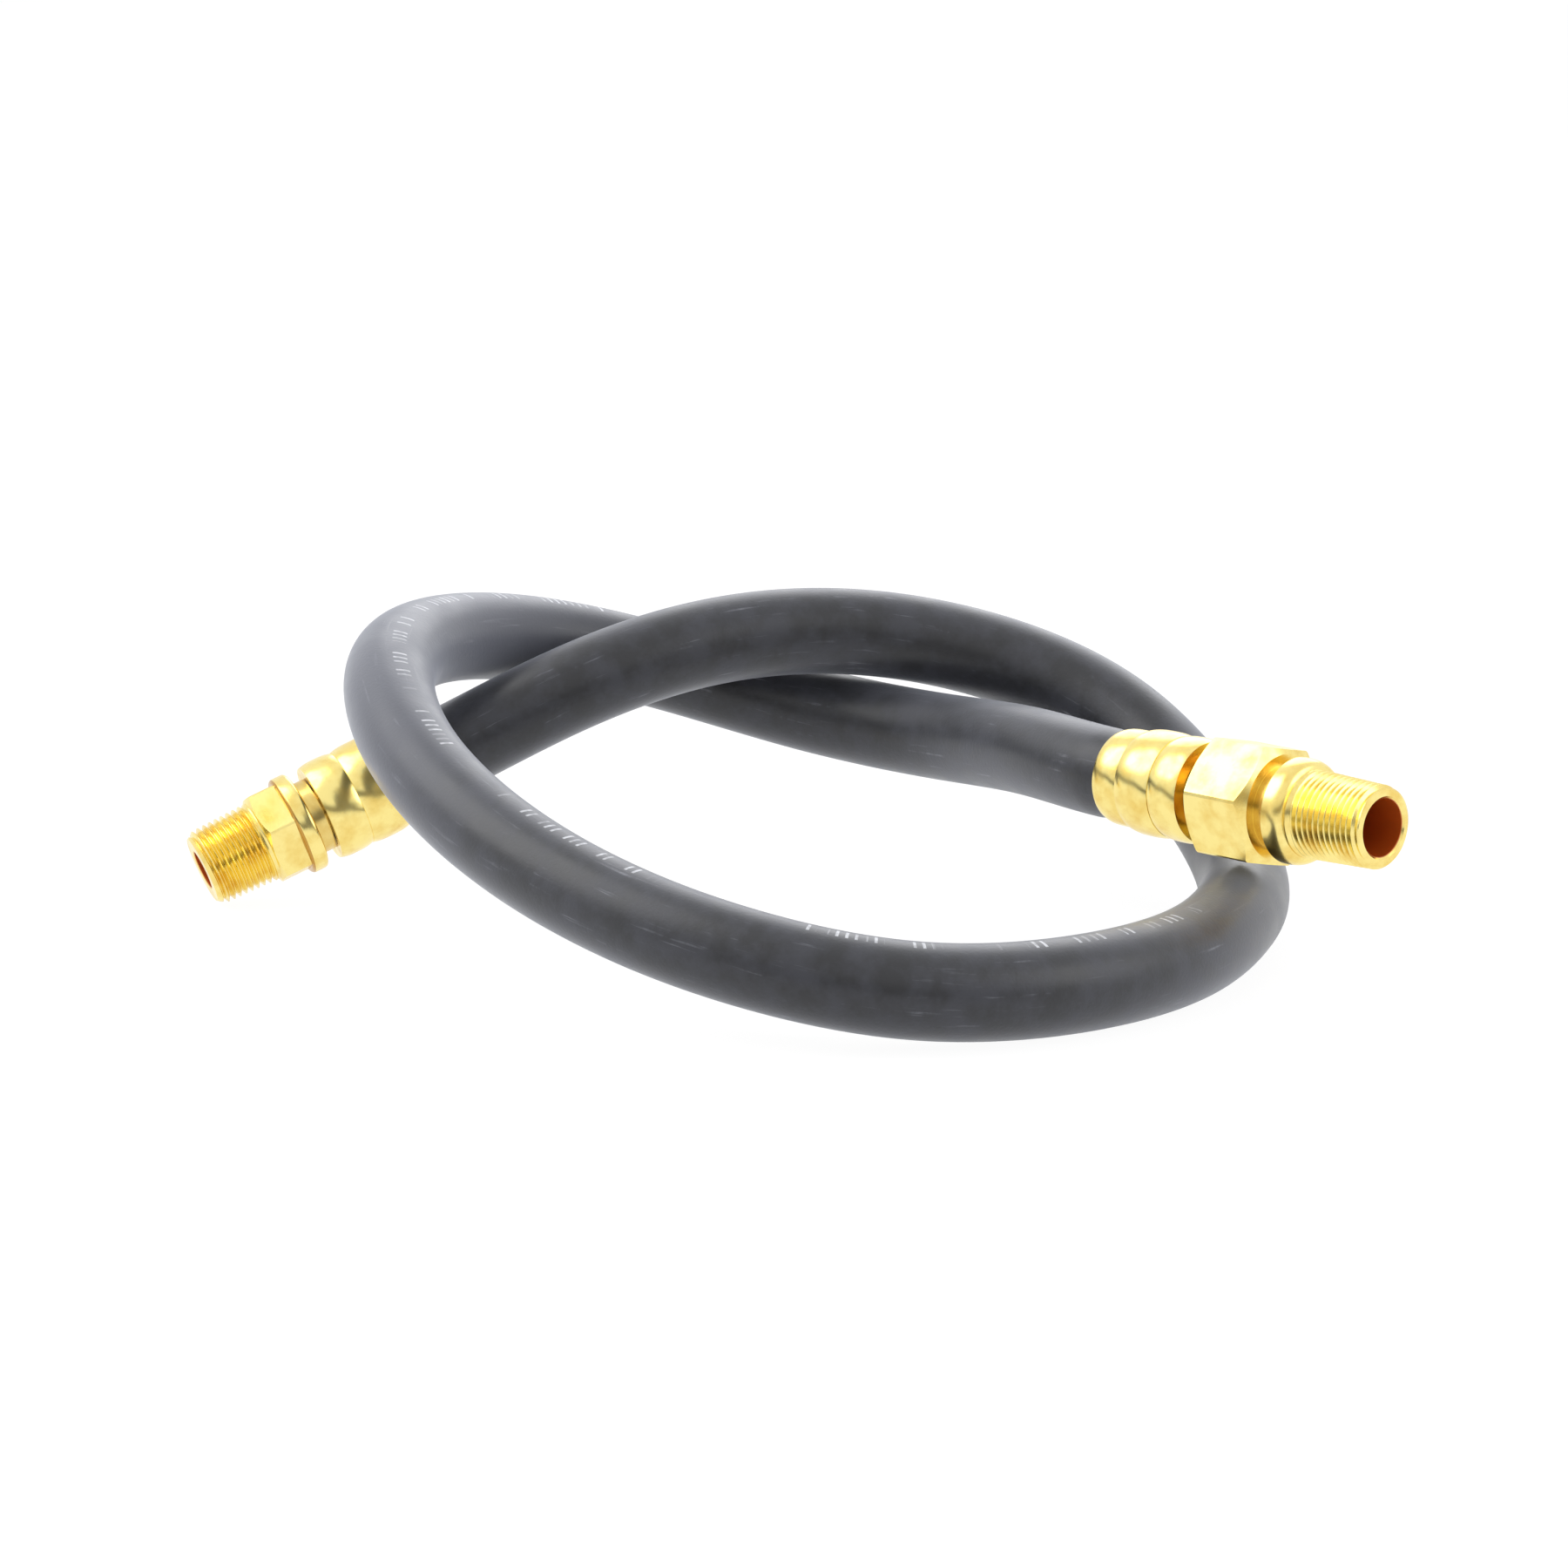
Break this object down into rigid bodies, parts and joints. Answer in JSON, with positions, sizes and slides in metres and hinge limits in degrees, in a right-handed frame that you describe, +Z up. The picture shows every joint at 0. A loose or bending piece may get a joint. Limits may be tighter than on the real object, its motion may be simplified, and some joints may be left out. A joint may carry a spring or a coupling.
{
  "type": "air brake hose",
  "caption": "Rubber air hose looped on itself, with a crimped brass pipe fitting at each end, one of them a swivel.",
  "frame": {"origin": "centre of the footprint of the looped hose as it lies on a table", "axes": "+Z up, +X along the swivel fitting's axis towards its thread"},
  "size_m": [0.2297, 0.1902, 0.0648],
  "materials": {
    "hose_rubber": "matte, smooth",
    "brass": "bright turned",
    "seal_rubber": "smooth",
    "spring_steel": "drawn wire"
  },
  "bodies": {
    "hose_assembly": {"hose": "hose_rubber", "fixed_stem": "brass", "fixed_ferrule": "brass", "swivel_stem": "brass", "swivel_ferrule": "brass", "swivel_seal_ring": "seal_rubber", "swivel_retaining_ring": "spring_steel"},
    "swivel": {"swivel_body": "brass"}
  },
  "joints": [
    {"name": "swivel_turn", "type": "hinge", "parent": "hose_assembly", "child": "swivel", "pos_m": [0.0714, 0.045, 0.0335], "axis": [1, 0, 0], "continuous": true}
  ]
}
